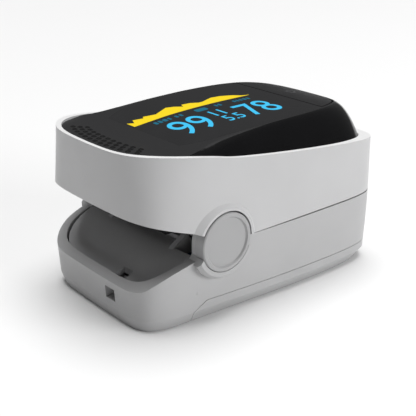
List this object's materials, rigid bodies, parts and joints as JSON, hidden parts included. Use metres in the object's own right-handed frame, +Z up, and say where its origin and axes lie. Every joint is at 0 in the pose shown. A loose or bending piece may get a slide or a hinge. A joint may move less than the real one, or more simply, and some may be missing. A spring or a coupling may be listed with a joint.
{
  "type": "fingertip pulse oximeter",
  "caption": "Clip-on fingertip pulse oximeter: rounded two-jaw body open at one end, black crowned top with a colour display and power button, round hinge caps on both sides.",
  "frame": {"origin": "middle of the footprint, on the surface the device stands on", "axes": "-X to the mouth where the finger goes in, +X to the power button end, Y along the hinge pins, +Z up through the display"},
  "size_m": [0.0614, 0.0404, 0.0345],
  "materials": {
    "shell_white": "smooth satin white plastic",
    "shell_grey": "light grey satin plastic",
    "tray_grey": "light grey satin plastic",
    "cap_grey": "light grey satin plastic",
    "cover_black": "polished black plastic",
    "panel_black": "smooth dark window plastic",
    "button_black": "fine matte black plastic",
    "rubber_black": "soft matte silicone",
    "rubber_grey": "soft matte silicone",
    "frame_plastic": "moulded plastic",
    "bearing_plastic": "smooth bearing plastic",
    "board_green": "solder-masked glass epoxy",
    "chip_black": "moulded epoxy",
    "display_glass": "polished display glass",
    "flex_amber": "thin polyimide film",
    "cell_left": "printed sleeve over steel",
    "spring_steel": "drawn wire and rod",
    "contact_nickel": "nickel plated strip",
    "screw_steel": "zinc plated",
    "window_clear": "clear tinted lens",
    "diode_dark": "dark sensor face",
    "led_red": "clear epoxy",
    "led_infrared": "tinted epoxy"
  },
  "bodies": {
    "lower_jaw": {"battery_left": "cell_left", "battery_right": "cell_left", "battery_spring_left": "spring_steel", "battery_spring_right": "spring_steel", "finger_tray": "tray_grey", "flex_ribbon": "flex_amber", "hinge_cap_left": "cap_grey", "hinge_cap_right": "cap_grey", "hinge_pin_left": "spring_steel", "hinge_pin_right": "spring_steel", "lower_finger_pad": "rubber_grey", "lower_screw_left": "screw_steel", "lower_screw_right": "screw_steel", "lower_shell": "shell_grey", "photodiode": "diode_dark", "photodiode_board": "board_green", "rear_contact": "contact_nickel", "sensor_window": "window_clear", "spring_plate_left": "contact_nickel", "spring_plate_right": "contact_nickel", "torsion_spring_left": "spring_steel", "torsion_spring_right": "spring_steel"},
    "pivot_bushes": {"pivot_bush_left": "bearing_plastic", "pivot_bush_right": "bearing_plastic"},
    "upper_jaw": {"board_screw_front": "screw_steel", "board_screw_left": "screw_steel", "board_screw_right": "screw_steel", "buzzer": "chip_black", "display_back": "chip_black", "display_flex": "flex_amber", "display_glass": "display_glass", "display_holder": "frame_plastic", "display_window": "panel_black", "emitter_board": "board_green", "emitter_window": "window_clear", "infrared_led": "led_infrared", "main_board": "board_green", "microcontroller": "chip_black", "power_switch": "chip_black", "red_led": "led_red", "top_cover": "cover_black", "upper_finger_pad": "rubber_black", "upper_inner_frame": "frame_plastic", "upper_shell": "shell_white"},
    "button": {"power_button": "button_black", "switch_plunger": "bearing_plastic"},
    "cover": {"battery_cover": "shell_grey"}
  },
  "joints": [
    {"name": "jaw_pivot", "type": "hinge", "parent": "lower_jaw", "child": "pivot_bushes", "pos_m": [-0.0134, 0, 0.0159], "axis": [0, -1, 0], "range_deg": [0, 8], "stiffness_Nm_per_rad": 0.35},
    {"name": "jaw_float", "type": "slide", "parent": "pivot_bushes", "child": "upper_jaw", "axis": [0, 0, 1], "range_m": [0, 0.005], "stiffness_N_per_m": 400, "springref_m": -0.002, "deforming": ["flex_ribbon"]},
    {"name": "power_press", "type": "slide", "parent": "upper_jaw", "child": "button", "axis": [0, 0, -1], "range_m": [0, 0.0005], "stiffness_N_per_m": 900, "springref_m": -0.0005},
    {"name": "battery_cover_slide", "type": "slide", "parent": "lower_jaw", "child": "cover", "axis": [1, 0, 0], "range_m": [0, 0.05]}
  ]
}
